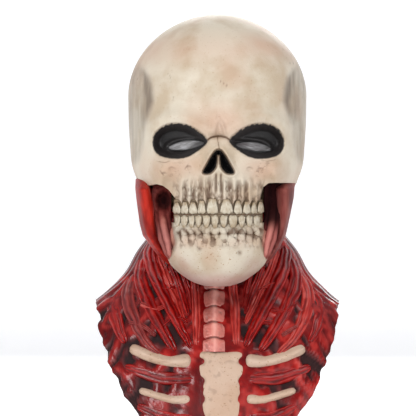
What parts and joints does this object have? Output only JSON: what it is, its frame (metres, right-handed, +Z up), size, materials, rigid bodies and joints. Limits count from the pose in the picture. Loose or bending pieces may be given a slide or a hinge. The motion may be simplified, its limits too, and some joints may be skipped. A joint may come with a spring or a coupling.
{
  "type": "latex halloween mask",
  "caption": "Full-head latex skull mask with a moving sprung jaw, screened eye sockets, foam head pads and a flayed neck and chest bib that closes behind.",
  "frame": {"origin": "middle of the crown pad's underside, where the wearer's crown bears", "axes": "+Z up, the face looks along -Y, +X is the wearer's left"},
  "size_m": [0.256, 0.2248, 0.465],
  "materials": {
    "bone_latex": "matte",
    "tooth_latex": "satin",
    "flesh_latex": "glossy",
    "screen_mesh": "satin",
    "foam": "matte",
    "moulding": "satin",
    "steel": "satin",
    "webbing": "matte",
    "hook_and_loop": "matte"
  },
  "bodies": {
    "skull": {"breastbone": "bone_latex", "cheek_lining_left": "flesh_latex", "cheek_lining_right": "flesh_latex", "collarbone_left": "bone_latex", "collarbone_right": "bone_latex", "crown_pad": "foam", "eye_screen_left": "screen_mesh", "eye_screen_right": "screen_mesh", "forehead_pad": "foam", "loop_patch_lower": "hook_and_loop", "loop_patch_upper": "hook_and_loop", "masseter_left": "flesh_latex", "masseter_right": "flesh_latex", "neck_bib": "flesh_latex", "neck_muscle_left": "flesh_latex", "neck_muscle_right": "flesh_latex", "neck_vertebrae": "flesh_latex", "nose_screen": "screen_mesh", "pivot_bracket_left": "moulding", "pivot_bracket_right": "moulding", "pivot_pin_left": "steel", "pivot_pin_right": "steel", "pivot_spring_left": "steel", "pivot_spring_right": "steel", "rear_pad": "foam", "rib_left": "bone_latex", "rib_right": "bone_latex", "skull_shell": "bone_latex", "tab_anchor_lower": "webbing", "tab_anchor_upper": "webbing", "temple_pad_left": "foam", "temple_pad_right": "foam", "upper_teeth": "tooth_latex"},
    "jaw": {"jaw_shell": "bone_latex", "lower_teeth": "tooth_latex", "chin_cup": "foam", "chin_strap": "webbing", "pivot_washer_left": "moulding", "pivot_washer_right": "moulding"},
    "slider": {"strap_slider": "moulding"},
    "tab_upper": {"closure_tab_upper": "webbing", "hook_patch_upper": "hook_and_loop"},
    "tab_lower": {"closure_tab_lower": "webbing", "hook_patch_lower": "hook_and_loop"}
  },
  "joints": [
    {"name": "jaw_hinge", "type": "hinge", "parent": "skull", "child": "jaw", "pos_m": [0, 0.012, -0.158], "axis": [1, 0, 0], "range_deg": [0, 9], "stiffness_Nm_per_rad": 0.6, "springref_deg": -20.05},
    {"name": "strap_slide", "type": "slide", "parent": "jaw", "child": "slider", "axis": [1, 0, 0], "range_m": [-0.015, 0.015]},
    {"name": "tab_upper_peel", "type": "hinge", "parent": "skull", "child": "tab_upper", "pos_m": [0.016, 0.083, -0.226], "axis": [0, 0, -1], "range_deg": [0, 110]},
    {"name": "tab_lower_peel", "type": "hinge", "parent": "skull", "child": "tab_lower", "pos_m": [0.016, 0.089, -0.256], "axis": [0, 0, -1], "range_deg": [0, 110]}
  ]
}
